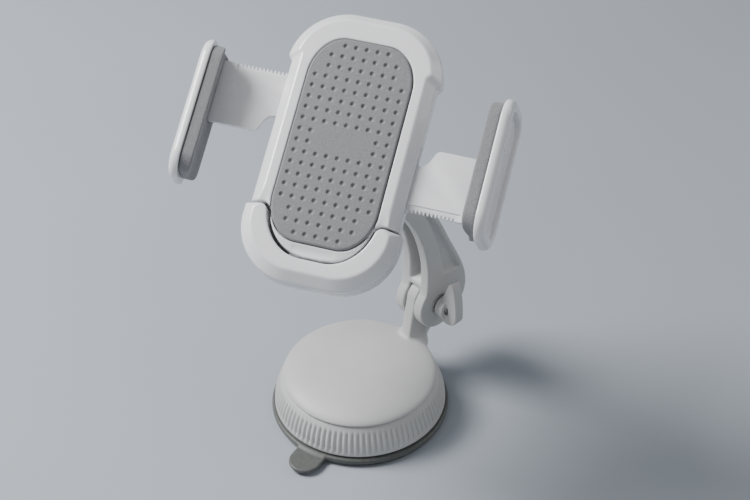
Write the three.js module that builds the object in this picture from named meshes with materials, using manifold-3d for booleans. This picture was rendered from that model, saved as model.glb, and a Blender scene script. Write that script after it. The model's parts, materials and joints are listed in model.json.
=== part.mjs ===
import * as THREE from 'three';
import { mergeVertices } from 'three/addons/utils/BufferGeometryUtils.js';
import Module from 'manifold-3d';

// Car phone mount: twist-lock suction base, forked arm, ball joint and a rack-and-pinion cradle.
// Millimetres, +Z up. Origin on the floor at the centre of the base; the hinge lug points to +Y.

// Base
const BASE_R = 35;
const CUP_R = BASE_R + 1.3;
const GEL_R = BASE_R + 0.6;
const GEL_T = 1.0;
const CUP_TOP = 3.7;
const CUP_WEB_T = 1.0;
const TAB_REACH = BASE_R + 12;
const TAB_WIDTH = 13;
const TAB_ANGLE = 165;
const RING_BOTTOM = 4.2;
const GROOVE_Z = 17.4;
const GROOVE_R = BASE_R - 3.6;
const RING_WALL = 1.9;
const FLUTES = 80;
const FLUTE_DEPTH = 0.45;
const DOME_TOP = 23.6;
const DOME_WALL = 2;
const PLATE_R = BASE_R * 0.6;
const PLATE_T = 1.8;
const LIFT = 2;
const LOCK_TURN = 90;
const STEM_R = 3.2;
const TOWER_R = 9;
const TOWER_BORE = 5.3;
const TOWER_TOP = 19.4;
const EAR_X = 6.6;
const DECK_Z = 9;
const DECK_T = 1.4;
const CAM_PIN_R = 1.2;
const CAM_PIN_HALF = 11.7;
const CAM_PIN_Z = 12.3;
const HUB_WALL = 3;
const WEB_T = 1.2;
const SPRING_WIRE = 0.6;

// Hinge and arm
const PIVOT_Y = BASE_R + 4;
const PIVOT_Z = 36;
const EYE_R = 11.5;
const LUG_T = 5.2;
const EYE_T = 4.5;
const BOLT_R = 2.5;
const NECK_HALF = 8.5;
const KNOB_GAP = 1;
const KNOB_HUB_R = 5;
const KNOB_REACH = 9.6;
const KNOB_TOP = 15.4;
const KNOB_WING_T = 4.4;
const NUT_HEX_R = 4;
const PANEL_DEPTH = 1.4;
const RIB_W = 1.9;
const BALL_R = 8.5;
const BALL_NECK_R = BALL_R * 0.4;
const NECK_LEAN = 37;
const BALL_Y = -0.2;
const BALL_Z = 125.2;

// Ball socket
const GASKET_T = 0.95;
const SHELL_T = 2.2;
const NUT_R = BALL_R + 6.9;
const NUT_MOUTH = BALL_R - 0.4;
const NUT_DEPTH = BALL_R - 2.9;

// Cradle
const YAW = 37.2;
const TILT = 34.8;
const ROLL = -6.8;
const FACE_W = 24.8;
const CRADLE_H = 102.6;
const CRADLE_W = 57.2;
const CRADLE_SHIFT = -4.1;
const CORNER_R = 21.5;
const WAIST_CUT = 1.7;
const WAIST_TOP = CRADLE_H / 2 - 25.7;
const WAIST_BOTTOM = 22.5 - CRADLE_H / 2;
const CRADLE_T = 12.8;
const SPLIT_D = 5.3;
const WALL = 1.8;
const PAD_W = CRADLE_W - 19;
const PAD_H = CRADLE_H - 25.6;
const PAD_SHIFT = -2.7;
const PAD_CORNER_X = 12;
const PAD_CORNER_Y = 15.5;
const PAD_T = 2.2;
const DIMPLE_X = 4;
const DIMPLE_Y = 4.18;
const DIMPLE_R = 0.95;
const DIMPLE_DEPTH = 0.8;
const BUTTON_GAP = 1.2;
const BUTTON_INSET = 5.6;
const BUTTON_T = 6.8;
const SEAM_NARROW = 9.2;
const FINGER_X = 7;
const PAWL_X = 6;
const PAWL_Y = WAIST_BOTTOM + 2.3;
const PAWL_POST_R = 1.5;
const PINION_POST_R = 3;
const SCREW_BOSS_R = 3.2;
const SCREW_R = 1;

// Sliders, pinion and jaws
const SLIDER_D = 5.6;
const SLIDER_T = 1.8;
const SLIDER_OUT = 20.7;
const SLIDER_IN = 3.1;
const SLIDER_END = 4;
const STEP_X = 30;
const MODULE = 0.7;
const PINION_TEETH = 12;
const BACKLASH = 0.12;
const FINE_PITCH = 1.43;
const FINE_DEPTH = 1.1;
const FINE_START = 3;
const STRIP_W = 2.7;
const STRIP_STEP = 0.5;
const GRIP_X = 48.2;
const JAW_H = 53;
const JAW_DEPTH = 24;
const JAW_FRONT = 8;
const JAW_SHIFT = -1.8;
const JAW_LEAN = 7;
const JAW_PAD_T = 4.4;
const JAW_SHELL_T = 3.6;
const JAW_CORNER = 8.5;

// Fits
const GAP = 0.3;
const RUN = 0.15;

// Sizes that follow from the ones above
const SOCKET_R = BALL_R + GAP * 2 + GASKET_T + 0.15;
const ARM_HALF = LUG_T / 2 + GAP + EYE_T;
const RIDGE_X = CRADLE_W / 2 - WAIST_CUT;
const BACK_W = FACE_W - CRADLE_T;
const SLIDER_TOP = FACE_W - SLIDER_D;
const SLIDER_LOW = SLIDER_TOP - SLIDER_T;
const PITCH_R = (MODULE * PINION_TEETH) / 2;
const JAW_MIDDLE = FACE_W + JAW_FRONT - JAW_DEPTH / 2;
const SCREW_TOP_Y = CRADLE_H / 2 - 20.3;
const SCREW_LOW_Y = 15.3 - CRADLE_H / 2;
const SCREWS = [[-17, SCREW_TOP_Y], [17, SCREW_TOP_Y], [-13.5, SCREW_LOW_Y], [13.5, SCREW_LOW_Y]];

// The arm's side outline: [share of the way from the hinge to the near side of the ball, distance across].
const ARM_FRONT = [[0.106, 5.4], [0.144, 2.9], [0.205, 0.1], [0.278, -2.4], [0.356, -4], [0.44, -5],
  [0.538, -5], [0.687, -3.3], [0.84, 0.2], [0.974, 2.6]];
const ARM_REAR = [[0.997, -7.6], [0.863, -9.9], [0.708, -13.6], [0.577, -15.4], [0.438, -16.6], [0.286, -16.8],
  [0.18, -17.1], [0.095, -17], [0.02, -16.1], [-0.042, -13.9], [-0.081, -11.1], [-0.102, -7.1]];
const PANEL_FRONT = [[0.142, -7.6], [0.278, -10], [0.438, -11.6], [0.577, -11.9], [0.708, -11]];

const wasm = await Module();
wasm.setup();
const rad = THREE.MathUtils.degToRad;

const GLOSS_WHITE = { color: 0xe9eaee, roughness: 0.22, metalness: 0 };
const SATIN_WHITE = { color: 0xd9d9d8, roughness: 0.5, metalness: 0 };
const PAD_GREY = { color: 0x808085, roughness: 0.75, metalness: 0 };
const CUP_GREY = { color: 0x5b5e57, roughness: 0.5, metalness: 0 };
const STEEL = { color: 0xa9abae, roughness: 0.3, metalness: 1 };
const BRASS = { color: 0xb9975a, roughness: 0.35, metalness: 1 };
const INNER_BLACK = { color: 0x2c2d2f, roughness: 0.55, metalness: 0 };
const ACETAL = { color: 0xcfcdc4, roughness: 0.4, metalness: 0 };

function solid(geometry) {
  const clean = geometry.clone();
  clean.deleteAttribute('normal');
  clean.deleteAttribute('uv');
  const merged = mergeVertices(clean, 1e-4);
  return new wasm.Manifold(new wasm.Mesh({
    numProp: 3,
    vertProperties: Float32Array.from(merged.attributes.position.array),
    triVerts: Uint32Array.from(merged.index.array),
  }));
}

function geometryOf(body) {
  const mesh = body.getMesh();
  const geometry = new THREE.BufferGeometry();
  geometry.setAttribute('position', new THREE.BufferAttribute(mesh.vertProperties, 3));
  geometry.setIndex(new THREE.BufferAttribute(mesh.triVerts, 1));
  geometry.computeVertexNormals();
  return geometry;
}

function piece(parent, name, body, finish) {
  const geometry = body instanceof THREE.BufferGeometry ? body : geometryOf(body);
  const mesh = new THREE.Mesh(geometry, new THREE.MeshStandardMaterial({ name, ...finish }));
  mesh.name = name;
  parent.add(mesh);
  return mesh;
}

// A box between two corners.
function box(low, high) {
  const size = low.map((v, i) => high[i] - v);
  const geometry = new THREE.BoxGeometry(...size);
  geometry.translate(...low.map((v, i) => v + size[i] / 2));
  return solid(geometry);
}

// A closed profile of [radius, height] turned about Z.
function turned(profile, segments = 36) {
  const geometry = new THREE.LatheGeometry(profile.map(([r, z]) => new THREE.Vector2(r, z)), segments);
  geometry.rotateX(Math.PI / 2);
  return solid(geometry);
}

// An upright cylinder or cone from z0 to z1.
function column(r, z0, z1, segments = 24, topR = r) {
  const geometry = new THREE.CylinderGeometry(topR, r, z1 - z0, segments);
  geometry.rotateX(Math.PI / 2);
  geometry.translate(0, 0, (z0 + z1) / 2);
  return solid(geometry);
}

// A cylinder along X from x0 to x1.
function rod(r, x0, x1, segments = 24) {
  const geometry = new THREE.CylinderGeometry(r, r, x1 - x0, segments);
  geometry.rotateZ(-Math.PI / 2);
  geometry.translate((x0 + x1) / 2, 0, 0);
  return solid(geometry);
}

// An outline in X and Y, from z0 up to z1.
function prism(shape, z0, z1, curveSegments = 10) {
  const geometry = new THREE.ExtrudeGeometry(shape, { depth: z1 - z0, bevelEnabled: false, curveSegments });
  geometry.translate(0, 0, z0);
  return solid(geometry);
}

// An outline in Y and Z, from x0 to x1.
function sideways(shape, x0, x1, curveSegments = 12) {
  const geometry = new THREE.ExtrudeGeometry(shape, { depth: x1 - x0, bevelEnabled: false, curveSegments });
  geometry.rotateX(Math.PI / 2);
  geometry.rotateZ(Math.PI / 2);
  geometry.translate(x0, 0, 0);
  return solid(geometry);
}

function union(...bodies) {
  return bodies.reduce((a, b) => a.add(b));
}

function minus(body, ...cuts) {
  return cuts.reduce((a, b) => a.subtract(b), body);
}

function roundedRect(w, h, rx, ry = rx, cy = 0) {
  const shape = new THREE.Shape();
  shape.moveTo(w / 2 - rx, cy - h / 2);
  shape.absellipse(w / 2 - rx, cy - h / 2 + ry, rx, ry, -Math.PI / 2, 0);
  shape.absellipse(w / 2 - rx, cy + h / 2 - ry, rx, ry, 0, Math.PI / 2);
  shape.absellipse(-w / 2 + rx, cy + h / 2 - ry, rx, ry, Math.PI / 2, Math.PI);
  shape.absellipse(-w / 2 + rx, cy - h / 2 + ry, rx, ry, Math.PI, 1.5 * Math.PI);
  shape.closePath();
  return shape;
}

// A round wire wound about Z, from z0 to z1, with a growing radius where r1 is given.
function coil(r0, wire, turns, z0, z1, r1 = r0) {
  const points = [];
  const steps = Math.round(turns * 10);
  for (let i = 0; i <= steps; i += 1) {
    const t = i / steps;
    const a = t * turns * 2 * Math.PI;
    const r = r0 + (r1 - r0) * t;
    points.push(new THREE.Vector3(r * Math.cos(a), r * Math.sin(a), z0 + (z1 - z0) * t));
  }
  const section = new THREE.Shape();
  section.absarc(0, 0, wire / 2, 0, 2 * Math.PI);
  const extrudePath = new THREE.CatmullRomCurve3(points);
  return solid(new THREE.ExtrudeGeometry(section, { steps, extrudePath, curveSegments: 3 }));
}

// ---- Base ----

function gelLayer() {
  return turned([[0, 0], [GEL_R - 0.4, 0], [GEL_R, 0.4], [GEL_R, GEL_T], [0, GEL_T]], 48);
}

function suctionCup() {
  const low = GEL_T + GAP;
  const web = low + CUP_WEB_T;
  const pocket = PLATE_R + 2;
  const disc = turned([
    [0, low], [CUP_R - 0.7, low], [CUP_R, low + 0.7], [CUP_R, CUP_TOP - 0.6],
    [CUP_R - 0.8, CUP_TOP], [pocket + 1.4, CUP_TOP], [pocket, web], [0, web],
  ], 48);
  const outline = new THREE.Shape();
  const half = TAB_WIDTH / 2;
  outline.moveTo(-half, CUP_R - 3);
  outline.lineTo(half, CUP_R - 3);
  outline.lineTo(half, TAB_REACH - half);
  outline.absarc(0, TAB_REACH - half, half, 0, Math.PI);
  outline.closePath();
  const tab = prism(outline, low, low + 1.7).rotate([0, 0, -TAB_ANGLE]);
  return union(disc, tab);
}

function plunger() {
  const plateZ = GEL_T + GAP + CUP_WEB_T + GAP;
  const top = CAM_PIN_Z + 1.7;
  const body = turned([
    [0, plateZ], [PLATE_R, plateZ], [PLATE_R, plateZ + PLATE_T - 0.5], [PLATE_R - 0.5, plateZ + PLATE_T],
    [STEM_R, plateZ + PLATE_T], [STEM_R, top], [0, top],
  ]);
  return minus(body, rod(CAM_PIN_R + RUN, -STEM_R - 1, STEM_R + 1, 16).translate([0, 0, CAM_PIN_Z]));
}

function towerSlot() {
  const half = CAM_PIN_R + GAP;
  const slot = box([-CUP_R, -half, CAM_PIN_Z - half], [CUP_R, half, CAM_PIN_Z + LIFT + half]);
  return slot.intersect(column(TOWER_R + 1, 0, TOWER_TOP));
}

function baseBody() {
  const flange = BASE_R - 2.4;
  const wallIn = PLATE_R + 2.2;
  const body = turned([
    [STEM_R + GAP, DECK_Z], [wallIn, DECK_Z], [wallIn, RING_BOTTOM - 0.2], [flange, RING_BOTTOM - 0.2],
    [flange, RING_BOTTOM + 1.4], [wallIn + 2, RING_BOTTOM + 1.4], [wallIn + 2, DECK_Z + DECK_T],
    [TOWER_R, DECK_Z + DECK_T], [TOWER_R, TOWER_TOP], [1.7, TOWER_TOP], [1.7, TOWER_TOP - 1.6],
    [TOWER_BORE, TOWER_TOP - 1.6], [TOWER_BORE, DECK_Z + DECK_T], [STEM_R + GAP, DECK_Z + DECK_T],
    [STEM_R + GAP, DECK_Z],
  ]);
  const ears = [-EAR_X, EAR_X].map((x) => box([x - 1, -1, TOWER_TOP - 0.2], [x + 1, 1, TOWER_TOP + 1.2]));
  return minus(union(body, ...ears), towerSlot());
}

function helicalSlots() {
  const cuts = [];
  const steps = 12;
  for (let i = 0; i <= steps; i += 1) {
    const t = i / steps;
    const cut = rod(CAM_PIN_R + GAP, -TOWER_R - HUB_WALL - 1.5, TOWER_R + HUB_WALL + 1.5, 8);
    cuts.push(cut.rotate([0, 0, -t * LOCK_TURN]).translate([0, 0, CAM_PIN_Z + t * LIFT]));
  }
  return cuts;
}

// The skirt is turned with two steps a flute, and every second step of its outer face is pressed in.
function flutedSkirt() {
  const top = GROOVE_Z - GAP;
  const webZ = top - WEB_T;
  const low = RING_BOTTOM + 1.4;
  const profile = [
    [GROOVE_R - 3.4, webZ], [GROOVE_R - 1.1, webZ - 0.6], [BASE_R - RING_WALL, RING_BOTTOM],
    [BASE_R - 0.4, RING_BOTTOM], [BASE_R, low], [BASE_R - 1.3, RING_BOTTOM + 8],
    [GROOVE_R, top], [GROOVE_R - 3.4, top], [GROOVE_R - 3.4, webZ],
  ];
  const geometry = new THREE.LatheGeometry(profile.map(([r, z]) => new THREE.Vector2(r, z)), 2 * FLUTES);
  const pos = geometry.attributes.position;
  for (let i = 0; i < pos.count; i += 1) {
    const step = Math.floor(i / profile.length);
    const row = i % profile.length;
    if (step % 2 === 1 && row >= 4 && row <= 5) {
      const k = 1 - FLUTE_DEPTH / Math.hypot(pos.getX(i), pos.getZ(i));
      pos.setXYZ(i, pos.getX(i) * k, pos.getY(i), pos.getZ(i) * k);
    }
  }
  geometry.rotateX(Math.PI / 2);
  return solid(geometry);
}

function lockRing() {
  const top = GROOVE_Z - GAP;
  const low = DECK_Z + DECK_T + GAP;
  const hub = minus(
    union(column(TOWER_R + HUB_WALL, low, top, 36), column(GROOVE_R - 2.4, top - WEB_T, top, 36)),
    column(TOWER_R + GAP, low - 1, top + 1, 36),
    ...helicalSlots(),
  );
  return union(hub, flutedSkirt());
}

function domeCurve(r, top, edgeR, edgeZ) {
  return edgeZ + (top - edgeZ) * (1 - (r / edgeR) ** 2.3) ** 0.5;
}

function dome() {
  const outer = [];
  const inner = [];
  const steps = 6;
  for (let i = 0; i <= steps; i += 1) {
    const r = GROOVE_R * Math.sin((i / steps) * Math.PI / 2);
    outer.push([r, domeCurve(r, DOME_TOP, GROOVE_R, GROOVE_Z)]);
    const q = (GROOVE_R - DOME_WALL) * Math.sin((i / steps) * Math.PI / 2);
    inner.push([q, domeCurve(q, DOME_TOP - DOME_WALL, GROOVE_R - DOME_WALL, GROOVE_Z)]);
  }
  const profile = [...inner, ...outer.reverse()];
  const shell = turned(profile, 48);
  const notches = [-EAR_X, EAR_X].map((x) => box(
    [x - 1 - GAP, -1 - GAP, TOWER_TOP],
    [x + 1 + GAP, 1 + GAP, TOWER_TOP + 1.2 + GAP],
  ));
  const boss = column(TOWER_R, TOWER_TOP + GAP, DOME_TOP - DOME_WALL + 0.4);
  const pilot = column(1.5 + RUN, TOWER_TOP, DOME_TOP - DOME_WALL - 0.1);
  const bolt = rod(BOLT_R + RUN, -LUG_T, LUG_T).translate([0, PIVOT_Y, PIVOT_Z]);
  return minus(union(shell, minus(boss, ...notches, pilot), lug()), bolt);
}

// The lug's plate and the flared neck that joins it to the dome's edge.
function lug() {
  const r = EYE_R - 0.4;
  const outline = new THREE.Shape();
  outline.absarc(PIVOT_Y, PIVOT_Z, r, rad(-28), rad(196));
  outline.lineTo(GROOVE_R - 5, GROOVE_Z + 1.5);
  outline.lineTo(GROOVE_R + 1.5, GROOVE_Z + 0.4);
  outline.lineTo(GROOVE_R + 6, GROOVE_Z + 3);
  outline.closePath();
  const plate = sideways(outline, -LUG_T / 2, LUG_T / 2);
  const flare = new THREE.CylinderGeometry(1, 1, 1, 16, 3);
  flare.rotateX(Math.PI / 2);
  const pos = flare.attributes.position;
  for (let i = 0; i < pos.count; i += 1) {
    const t = pos.getZ(i) + 0.5;
    const wide = LUG_T / 2 - 0.2 + (NECK_HALF - LUG_T / 2) * (1 - t) ** 2;
    const deep = 6.6 - 2.6 * t;
    pos.setX(i, pos.getX(i) * wide);
    pos.setY(i, pos.getY(i) * deep + GROOVE_R - 2.6 + 5.4 * t);
    pos.setZ(i, GROOVE_Z + 0.4 + 11 * t);
  }
  return union(plate, solid(flare));
}

function domeScrew() {
  const seat = TOWER_TOP - 1.6;
  return turned([
    [0, seat - 1.5], [2.2, seat - 1.5], [2.7, seat - 1], [2.7, seat - 0.1], [1.5, seat - 0.1],
    [1.5, DOME_TOP - DOME_WALL - 0.5], [0, DOME_TOP - DOME_WALL - 0.5],
  ], 16);
}

// ---- Hinge and arm ----

// A point of the arm's side view, drawn in across the hinge-to-ball line by a margin.
function armPoint([share, across], margin = 0) {
  const toBall = new THREE.Vector2(BALL_Y - PIVOT_Y, BALL_Z - PIVOT_Z);
  const along = toBall.clone().setLength(toBall.length() - BALL_R);
  const side = new THREE.Vector2(-along.y, along.x).normalize();
  const point = new THREE.Vector2(PIVOT_Y, PIVOT_Z).addScaledVector(along, share);
  return point.addScaledVector(side, across + margin);
}

function smoothLoop(front, rear, last) {
  const shape = new THREE.Shape();
  shape.moveTo(front[0].x, front[0].y);
  shape.splineThru(front.slice(1));
  shape.lineTo(rear[0].x, rear[0].y);
  shape.splineThru(rear.slice(1));
  if (last) {
    shape.lineTo(last.x, last.y);
  }
  shape.closePath();
  return shape;
}

function armOutline() {
  const front = ARM_FRONT.map((p) => armPoint(p));
  const rear = ARM_REAR.map((p) => armPoint(p));
  return smoothLoop(front, rear, new THREE.Vector2(PIVOT_Y, PIVOT_Z));
}

// The part of the outline between two shares of its length, drawn in to make the channel.
function armInset(frontIn, rearIn, from, to) {
  const within = ([share]) => share >= from && share <= to;
  const front = ARM_FRONT.filter(within).map((p) => armPoint(p, -frontIn));
  const rear = ARM_REAR.filter(within).map((p) => armPoint(p, rearIn));
  return smoothLoop(front, rear);
}

// The sunk panel in each side, which narrows towards the ball and leaves a thin rib along the rear.
function sidePanel() {
  const front = PANEL_FRONT.map((p) => armPoint(p));
  const rear = ARM_REAR.filter(([share]) => share > 0.09 && share < 0.76).map((p) => armPoint(p, RIB_W));
  return smoothLoop(front, rear);
}

function armPiece() {
  const half = ARM_HALF;
  const eye = rod(EYE_R, -half, half, 32).translate([0, PIVOT_Y, PIVOT_Z]);
  const beam = sideways(armOutline(), -half, half, 3);
  const slotHalf = LUG_T / 2 + GAP;
  const slot = rod(EYE_R + 1, -slotHalf, slotHalf, 32).translate([0, PIVOT_Y, PIVOT_Z]);
  const mouth = box([-slotHalf, PIVOT_Y - EYE_R - 2, PIVOT_Z - 20], [slotHalf, PIVOT_Y + EYE_R + 6, PIVOT_Z]);
  const channel = sideways(armInset(-6, 3.4, 0.13, 0.72), -slotHalf, slotHalf, 2);
  const panel = sidePanel();
  const panels = [
    sideways(panel, half - PANEL_DEPTH, half + 1, 2),
    sideways(panel, -half - 1, -half + PANEL_DEPTH, 2),
  ];
  const ball = solid(new THREE.SphereGeometry(BALL_R, 24, 12)).translate([0, BALL_Y, BALL_Z]);
  const neck = new THREE.CylinderGeometry(BALL_NECK_R, BALL_NECK_R + 1.2, 22, 24);
  neck.translate(0, -11, 0);
  neck.rotateX(rad(90 + NECK_LEAN));
  neck.translate(0, BALL_Y, BALL_Z);
  const bolt = rod(BOLT_R + RUN, -half - 1, half + 1).translate([0, PIVOT_Y, PIVOT_Z]);
  const hex = rod(4.6 + RUN, -half - 1, -half + 2.2, 6).translate([0, PIVOT_Y, PIVOT_Z]);
  return minus(union(eye, beam, solid(neck), ball), slot, mouth, channel, ...panels, bolt, hex);
}

function hingeBolt() {
  const shank = rod(BOLT_R, -ARM_HALF, ARM_HALF + KNOB_GAP + 4.2);
  const head = rod(4.6, -ARM_HALF - 0.4, -ARM_HALF + 2, 6);
  return union(shank, head).translate([0, PIVOT_Y, PIVOT_Z]);
}

function hingeWasher() {
  const disc = rod(5.4, ARM_HALF + 0.1, ARM_HALF + KNOB_GAP - 0.2);
  const bore = rod(BOLT_R + RUN, ARM_HALF - 1, ARM_HALF + KNOB_GAP + 1);
  return disc.subtract(bore).translate([0, PIVOT_Y, PIVOT_Z]);
}

// A flat wing in the plane of the hinge axis, on a short hub that holds the nut.
function hingeKnob() {
  const x0 = ARM_HALF + KNOB_GAP;
  const hub = rod(KNOB_HUB_R, x0, x0 + 4, 28);
  const outline = new THREE.Shape();
  outline.moveTo(x0 + 0.4, -4.4);
  outline.quadraticCurveTo(x0 + 1.6, -7, x0 + 4.4, -7);
  outline.quadraticCurveTo(x0 + 9, -6.2, x0 + KNOB_REACH, -2.4);
  outline.quadraticCurveTo(x0 + KNOB_REACH + 0.4, 6, x0 + 8, KNOB_TOP - 2.2);
  outline.quadraticCurveTo(x0 + 6.4, KNOB_TOP + 2, x0 + 4.7, KNOB_TOP - 2);
  outline.lineTo(x0 + 0.4, 2.6);
  outline.closePath();
  const settings = { depth: KNOB_WING_T, bevelEnabled: false, curveSegments: 8 };
  const wing = new THREE.ExtrudeGeometry(outline, settings);
  wing.rotateX(Math.PI / 2);
  wing.translate(0, KNOB_WING_T / 2, 0);
  const pocket = rod(NUT_HEX_R + RUN, x0 - 1, x0 + 3.2, 6);
  const bore = rod(BOLT_R + GAP, x0 - 1, x0 + 4.8);
  return minus(union(hub, solid(wing)), pocket, bore).translate([0, PIVOT_Y, PIVOT_Z]);
}

function knobNut() {
  const x0 = ARM_HALF + KNOB_GAP + 0.2;
  const hex = rod(NUT_HEX_R, x0, x0 + 2.8, 6);
  return hex.subtract(rod(BOLT_R + RUN, x0 - 1, x0 + 4)).translate([0, PIVOT_Y, PIVOT_Z]);
}

// ---- Ball socket, about the ball's centre with the cradle's normal along Z ----

function socketCup() {
  const r = SOCKET_R;
  const outer = r + SHELL_T;
  const bowl = solid(new THREE.SphereGeometry(r, 24, 10));
  const wall = minus(column(outer, -1, BACK_W, 24), bowl, column(r, -5, 0, 24));
  const slots = [0, 60, 120].map((a) => box([-outer - 1, -0.6, -2], [outer + 1, 0.6, 5]).rotate([0, 0, a]));
  return minus(wall, ...slots);
}

function gasket() {
  const inner = BALL_R + GAP + 0.05;
  const outer = inner + GASKET_T;
  const angles = [-6, 9, 24, 39, 54].map(rad);
  const arc = (r, a) => [r * Math.cos(a), r * Math.sin(a)];
  const profile = [...angles.map((a) => arc(outer, a)), ...angles.reverse().map((a) => arc(inner, a))];
  return turned([...profile, profile[0]], 24);
}

function collarNut() {
  const inner = SOCKET_R + SHELL_T + 0.4;
  const body = turned([
    [inner, 7.6], [inner, -2.6], [NUT_MOUTH, -NUT_DEPTH + 1.2], [NUT_MOUTH + 0.8, -NUT_DEPTH],
    [NUT_R - 2.4, -NUT_DEPTH], [NUT_R, -NUT_DEPTH + 2.2], [NUT_R, 6.8], [NUT_R - 0.8, 7.6], [inner, 7.6],
  ], 36);
  const grooves = [];
  for (let i = 0; i < 18; i += 1) {
    grooves.push(column(1.1, -3, 9, 5).translate([NUT_R + 0.4, 0, 0]).rotate([0, 0, i * 20]));
  }
  return minus(body, ...grooves);
}

// ---- Cradle: x right, y up the long side, z out of the face, measured from the ball's centre ----

// The cradle's outline with the shallow recess along both sides.
function bodyOutline(z0, z1, inset = 0) {
  const corner = CORNER_R - inset;
  const lobe = roundedRect(CRADLE_W - 2 * inset, CRADLE_H - 2 * inset, corner, corner, CRADLE_SHIFT);
  const cuts = [-1, 1].map((s) => {
    const a = s * (RIDGE_X - inset);
    const b = s * (CRADLE_W / 2 + 1);
    return box([Math.min(a, b), WAIST_BOTTOM - inset, z0 - 1], [Math.max(a, b), WAIST_TOP + inset, z1 + 1]);
  });
  return minus(prism(lobe, z0, z1, 6), ...cuts);
}

// The line between the frame and the bottom button, grown or shrunk by a margin.
function seamShape(margin) {
  const w = PAD_W + 2 * BUTTON_INSET + 2 * margin - SEAM_NARROW;
  const h = PAD_H + 2 * BUTTON_INSET + 2 * margin;
  return roundedRect(w, h, PAD_CORNER_X + 4 + margin, PAD_CORNER_Y + 4 + margin, PAD_SHIFT);
}

function buttonZone(z0, z1, margin) {
  const block = box([-CRADLE_W, -CRADLE_H, z0], [CRADLE_W, WAIST_BOTTOM - 1.4 + margin, z1]);
  return block.subtract(prism(seamShape(-margin), z0 - 1, z1 + 1, 6));
}

// The outline with its front edge stepped in twice.
function softFront(low, face, inset) {
  return union(
    bodyOutline(low, face - 2.2),
    bodyOutline(face - 2.4, face - 1, inset / 3),
    bodyOutline(face - 1.2, face, inset),
  );
}

function frontFrame() {
  const face = FACE_W - 0.5;
  const low = FACE_W - SPLIT_D + 0.1;
  const padShape = roundedRect(PAD_W + 2 * GAP, PAD_H + 2 * GAP, PAD_CORNER_X, PAD_CORNER_Y, PAD_SHIFT);
  const recess = prism(padShape, FACE_W - PAD_T - GAP, face + 1, 6);
  const keep = buttonZone(low - 2, low + 3, BUTTON_GAP + WALL + 1);
  const hollow = bodyOutline(low - 1, low + 1.2, WALL + 1).subtract(keep);
  const buttonCut = buttonZone(low - 1, face + 1, BUTTON_GAP);
  const shell = minus(softFront(low, face, 2.4), recess, hollow, buttonCut);
  const bosses = SCREWS.map(([x, y]) => column(SCREW_BOSS_R, low, low + 1.6, 16).translate([x, y, 0]));
  const holes = SCREWS.map(([x, y]) => column(SCREW_R + RUN, low - 1, low + 2, 12).translate([x, y, 0]));
  return minus(union(shell, ...bosses), ...holes, column(PINION_POST_R, low - 1, low + 1, 24));
}

function bottomButton() {
  const face = FACE_W - 0.2;
  const low = FACE_W - BUTTON_T;
  const rim = softFront(low, face, 2.6).intersect(buttonZone(low - 1, face + 1, 0));
  const z0 = low + 0.1;
  const z1 = SLIDER_TOP - 0.1;
  const end = CRADLE_SHIFT - CRADLE_H / 2;
  const finger = box([-FINGER_X - 2, end + 3, z0], [-FINGER_X + 2, PAWL_Y - 2.6 - GAP, z1]);
  const rail = box([-12, end + 2.4, z0], [12, end + 6.8, z1]);
  return union(rim, finger, rail);
}

function rearCover() {
  const high = FACE_W - SPLIT_D - 0.1;
  const shell = union(
    bodyOutline(BACK_W + 2, high),
    bodyOutline(BACK_W + 0.9, BACK_W + 2.2, 0.8),
    bodyOutline(BACK_W, BACK_W + 1.1, 2.2),
  );
  const hollow = bodyOutline(BACK_W + WALL, high + 1, WALL + 0.6);
  const buttonCut = buttonZone(FACE_W - BUTTON_T - GAP, high + 1, BUTTON_GAP);
  const slotLow = SLIDER_LOW - GAP;
  const slots = [
    box([20, -SLIDER_OUT - 0.5, slotLow], [CRADLE_W, SLIDER_IN + 0.4, high + 1]),
    box([-CRADLE_W, -SLIDER_IN - 0.4, slotLow], [-20, SLIDER_OUT + 0.5, high + 1]),
  ];
  const bosses = SCREWS.map(([x, y]) => column(SCREW_BOSS_R, BACK_W + 1, high, 16).translate([x, y, 0]));
  const holes = SCREWS.flatMap(([x, y]) => [
    column(SCREW_R + 0.1 + RUN, BACK_W - 1, high + 1, 12).translate([x, y, 0]),
    column(2.2, BACK_W - 1, BACK_W + 2.2, 16).translate([x, y, 0]),
  ]);
  const springPost = column(2.4, BACK_W + 1, SLIDER_LOW - 0.3, 20);
  const pawlPost = column(PAWL_POST_R, BACK_W + 1, SLIDER_TOP, 20).translate([PAWL_X, PAWL_Y, 0]);
  const pin = column(0.9, BACK_W + 2, high + 2, 16);
  const inside = minus(shell, hollow, buttonCut, ...slots);
  return minus(union(inside, ...bosses, springPost, pawlPost, socketCup()), ...holes, pin);
}

function gripPad() {
  const shape = roundedRect(PAD_W, PAD_H, PAD_CORNER_X, PAD_CORNER_Y, PAD_SHIFT);
  const top = roundedRect(PAD_W - 0.8, PAD_H - 0.8, PAD_CORNER_X - 0.4, PAD_CORNER_Y - 0.4, PAD_SHIFT);
  const slab = prism(shape, FACE_W - PAD_T, FACE_W - 0.35, 6);
  const skin = prism(top, FACE_W - 0.5, FACE_W, 6);
  const dimple = column(0.02, FACE_W - DIMPLE_DEPTH, FACE_W + 0.1, 4, DIMPLE_R * 1.2);
  const rows = 2 * Math.floor((PAD_H / 2 - 0.9) / DIMPLE_Y);
  const dimples = [];
  for (let row = 0; row < rows; row += 1) {
    const far = Math.abs(row - (rows - 1) / 2);
    const last = rows / 2 - far;
    const reach = Math.floor((PAD_W / 2 - 3) / DIMPLE_X) - (last < 1 ? 2 : last < 3 ? 1 : 0);
    for (let col = -reach; col <= reach; col += 1) {
      const inBlankMiddle = far < 1 && Math.abs(col) < 3;
      if (!inBlankMiddle) {
        const y = PAD_SHIFT + (row - (rows - 1) / 2) * DIMPLE_Y;
        dimples.push(dimple.translate([col * DIMPLE_X, y, 0]));
      }
    }
  }
  return union(slab, skin).subtract(wasm.Manifold.union(dimples));
}

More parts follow.
